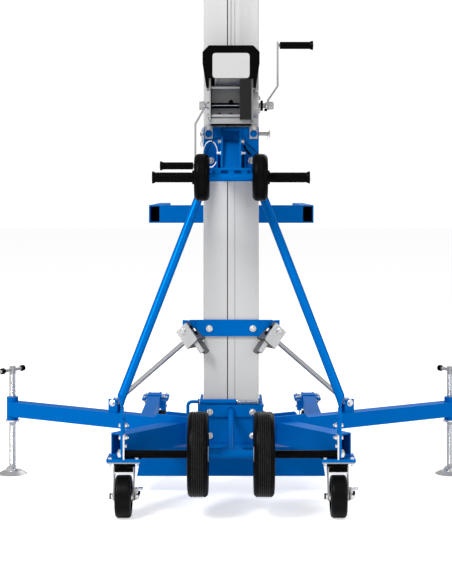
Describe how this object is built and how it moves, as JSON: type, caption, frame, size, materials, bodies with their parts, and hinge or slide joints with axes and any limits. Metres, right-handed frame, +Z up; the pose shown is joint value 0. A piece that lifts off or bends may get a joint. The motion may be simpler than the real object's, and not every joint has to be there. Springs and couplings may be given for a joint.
{
  "type": "material lift",
  "caption": "Hand-winched material lift: telescoping mast on a wheeled base with straddle legs, fold-up stabilisers, winch, handle and fork frame.",
  "frame": {"origin": "on the floor, midway across the machine and midway from the transport wheels' rear to the front legs' tips", "axes": "+X to the right of a person at the handle, +Y forward to the fork tips, +Z up"},
  "size_m": [1.62, 1.4364, 1.96],
  "materials": {
    "blue_paint": "semi-gloss",
    "mast_metal": "satin",
    "zinc": "satin",
    "black_steel": "semi-gloss",
    "black_rubber": "matte",
    "tyre_rubber": "matte",
    "plate_grey": "matte"
  },
  "bodies": {
    "frame": {"base_crossbeam": "blue_paint", "mast_foot": "blue_paint", "rear_beam_left": "blue_paint", "rear_beam_right": "blue_paint", "front_leg_left": "blue_paint", "front_leg_right": "blue_paint", "rear_axle": "black_steel", "axle_brace": "blue_paint", "latch_rod": "blue_paint", "handle_frame_left": "blue_paint", "handle_frame_right": "blue_paint", "handle_bar": "blue_paint", "handle_grips": "black_rubber", "handle_bracket": "blue_paint", "bracket_tabs": "zinc", "hold_pin": "zinc", "column_1": "mast_metal", "lock_bar": "blue_paint", "latch_boxes": "zinc", "stabiliser_ears": "blue_paint", "corner_leaves": "zinc", "caster_plates": "zinc", "winch_frame": "zinc", "winch_hood": "black_steel", "winch_plate": "plate_grey", "winch_gear_cover": "black_steel", "mast_head": "blue_paint", "lift_cable": "zinc"},
    "mast_column_2": {"column_2": "mast_metal"},
    "mast_column_3": {"column_3": "mast_metal"},
    "mast_column_4": {"column_4": "mast_metal"},
    "fork_carriage": {"carriage": "blue_paint", "fork_frame": "blue_paint", "fork_clamps": "zinc"},
    "drum": {"winch_drum": "zinc"},
    "sheave": {"mast_sheave": "zinc"},
    "crank": {"winch_crank": "zinc", "crank_grips": "black_rubber"},
    "stabiliser_left": {"stabiliser_arm_left": "blue_paint", "jack_left": "zinc"},
    "brace_left": {"brace_rod_left": "zinc"},
    "stabiliser_right": {"stabiliser_arm_right": "blue_paint", "jack_right": "zinc"},
    "brace_right": {"brace_rod_right": "zinc"},
    "caster_rear_left": {"caster_fork_rear_left": "zinc"},
    "caster_roller_rear_left": {"caster_wheel_rear_left": "tyre_rubber"},
    "caster_rear_right": {"caster_fork_rear_right": "zinc"},
    "caster_roller_rear_right": {"caster_wheel_rear_right": "tyre_rubber"},
    "caster_front_left": {"caster_fork_front_left": "zinc"},
    "caster_roller_front_left": {"caster_wheel_front_left": "tyre_rubber"},
    "caster_front_right": {"caster_fork_front_right": "zinc"},
    "caster_roller_front_right": {"caster_wheel_front_right": "tyre_rubber"},
    "transport_roller_left": {"transport_wheel_left": "tyre_rubber"},
    "transport_roller_right": {"transport_wheel_right": "tyre_rubber"},
    "loading_roller_left": {"loading_wheel_left": "black_rubber"},
    "loading_roller_right": {"loading_wheel_right": "black_rubber"}
  },
  "joints": [
    {"name": "lift_column_2", "type": "slide", "parent": "frame", "child": "mast_column_2", "axis": [0, 0, 1], "range_m": [0, 1.35]},
    {"name": "lift_column_3", "type": "slide", "parent": "mast_column_2", "child": "mast_column_3", "axis": [0, 0, 1], "range_m": [0, 1.35]},
    {"name": "lift_column_4", "type": "slide", "parent": "mast_column_3", "child": "mast_column_4", "axis": [0, 0, 1], "range_m": [0, 1.35]},
    {"name": "lift_carriage", "type": "slide", "parent": "mast_column_4", "child": "fork_carriage", "axis": [0, 0, 1], "range_m": [0, 1.35]},
    {"name": "stabiliser_fold_left", "type": "hinge", "parent": "frame", "child": "stabiliser_left", "pos_m": [-0.20943, -0.27735, 0.2255], "axis": [0.515, 0.8572, 0], "range_deg": [0, 80]},
    {"name": "brace_swing_left", "type": "hinge", "parent": "stabiliser_left", "child": "brace_left", "pos_m": [-0.38155, -0.17393, 0.2822], "axis": [0.515, 0.8572, 0], "range_deg": [-142, 0]},
    {"name": "stabiliser_fold_right", "type": "hinge", "parent": "frame", "child": "stabiliser_right", "pos_m": [0.20943, -0.27735, 0.2255], "axis": [0.515, -0.8572, 0], "range_deg": [0, 80]},
    {"name": "brace_swing_right", "type": "hinge", "parent": "stabiliser_right", "child": "brace_right", "pos_m": [0.38155, -0.17393, 0.2822], "axis": [0.515, -0.8572, 0], "range_deg": [-142, 0]},
    {"name": "caster_swivel_rear_left", "type": "hinge", "parent": "frame", "child": "caster_rear_left", "pos_m": [-0.3225, -0.55775, 0.15], "axis": [0, 0, 1], "continuous": true},
    {"name": "caster_roll_rear_left", "type": "hinge", "parent": "caster_rear_left", "child": "caster_roller_rear_left", "pos_m": [-0.3225, -0.58975, 0.0635], "axis": [1, 0, 0], "continuous": true},
    {"name": "caster_swivel_rear_right", "type": "hinge", "parent": "frame", "child": "caster_rear_right", "pos_m": [0.3225, -0.55775, 0.15], "axis": [0, 0, 1], "continuous": true},
    {"name": "caster_roll_rear_right", "type": "hinge", "parent": "caster_rear_right", "child": "caster_roller_rear_right", "pos_m": [0.3225, -0.58975, 0.0635], "axis": [1, 0, 0], "continuous": true},
    {"name": "caster_swivel_front_left", "type": "hinge", "parent": "frame", "child": "caster_front_left", "pos_m": [-0.295, 0.66725, 0.15], "axis": [0, 0, 1], "continuous": true},
    {"name": "caster_roll_front_left", "type": "hinge", "parent": "caster_front_left", "child": "caster_roller_front_left", "pos_m": [-0.279, 0.63954, 0.0635], "axis": [0.866, 0.5, 0], "continuous": true},
    {"name": "caster_swivel_front_right", "type": "hinge", "parent": "frame", "child": "caster_front_right", "pos_m": [0.295, 0.66725, 0.15], "axis": [0, 0, 1], "continuous": true},
    {"name": "caster_roll_front_right", "type": "hinge", "parent": "caster_front_right", "child": "caster_roller_front_right", "pos_m": [0.295, 0.63525, 0.0635], "axis": [1, 0, 0], "continuous": true},
    {"name": "transport_roll_left", "type": "hinge", "parent": "frame", "child": "transport_roller_left", "pos_m": [-0.0985, -0.59125, 0.19], "axis": [1, 0, 0], "continuous": true},
    {"name": "transport_roll_right", "type": "hinge", "parent": "frame", "child": "transport_roller_right", "pos_m": [0.0985, -0.59125, 0.19], "axis": [1, 0, 0], "continuous": true},
    {"name": "loading_roll_left", "type": "hinge", "parent": "frame", "child": "loading_roller_left", "pos_m": [-0.0875, -0.58775, 1.021], "axis": [1, 0, 0], "continuous": true},
    {"name": "loading_roll_right", "type": "hinge", "parent": "frame", "child": "loading_roller_right", "pos_m": [0.0875, -0.58775, 1.021], "axis": [1, 0, 0], "continuous": true},
    {"name": "drum_turn", "type": "hinge", "parent": "frame", "child": "drum", "pos_m": [0, -0.43475, 1.345], "axis": [1, 0, 0], "continuous": true},
    {"name": "crank_turn", "type": "hinge", "parent": "frame", "child": "crank", "pos_m": [0, -0.40275, 1.2476], "axis": [1, 0, 0], "continuous": true},
    {"name": "sheave_turn", "type": "hinge", "parent": "frame", "child": "sheave", "pos_m": [0, -0.36775, 1.925], "axis": [1, 0, 0], "continuous": true}
  ],
  "couplings": [
    {"joint": "lift_column_3", "follows": "lift_column_2", "ratio": 1},
    {"joint": "lift_column_4", "follows": "lift_column_2", "ratio": 1},
    {"joint": "lift_carriage", "follows": "lift_column_2", "ratio": 1},
    {"joint": "brace_swing_left", "follows": "stabiliser_fold_left", "ratio": -1.775},
    {"joint": "brace_swing_right", "follows": "stabiliser_fold_right", "ratio": -1.775},
    {"joint": "sheave_turn", "follows": "drum_turn", "ratio": -1.1869},
    {"joint": "crank_turn", "follows": "drum_turn", "ratio": -4}
  ]
}
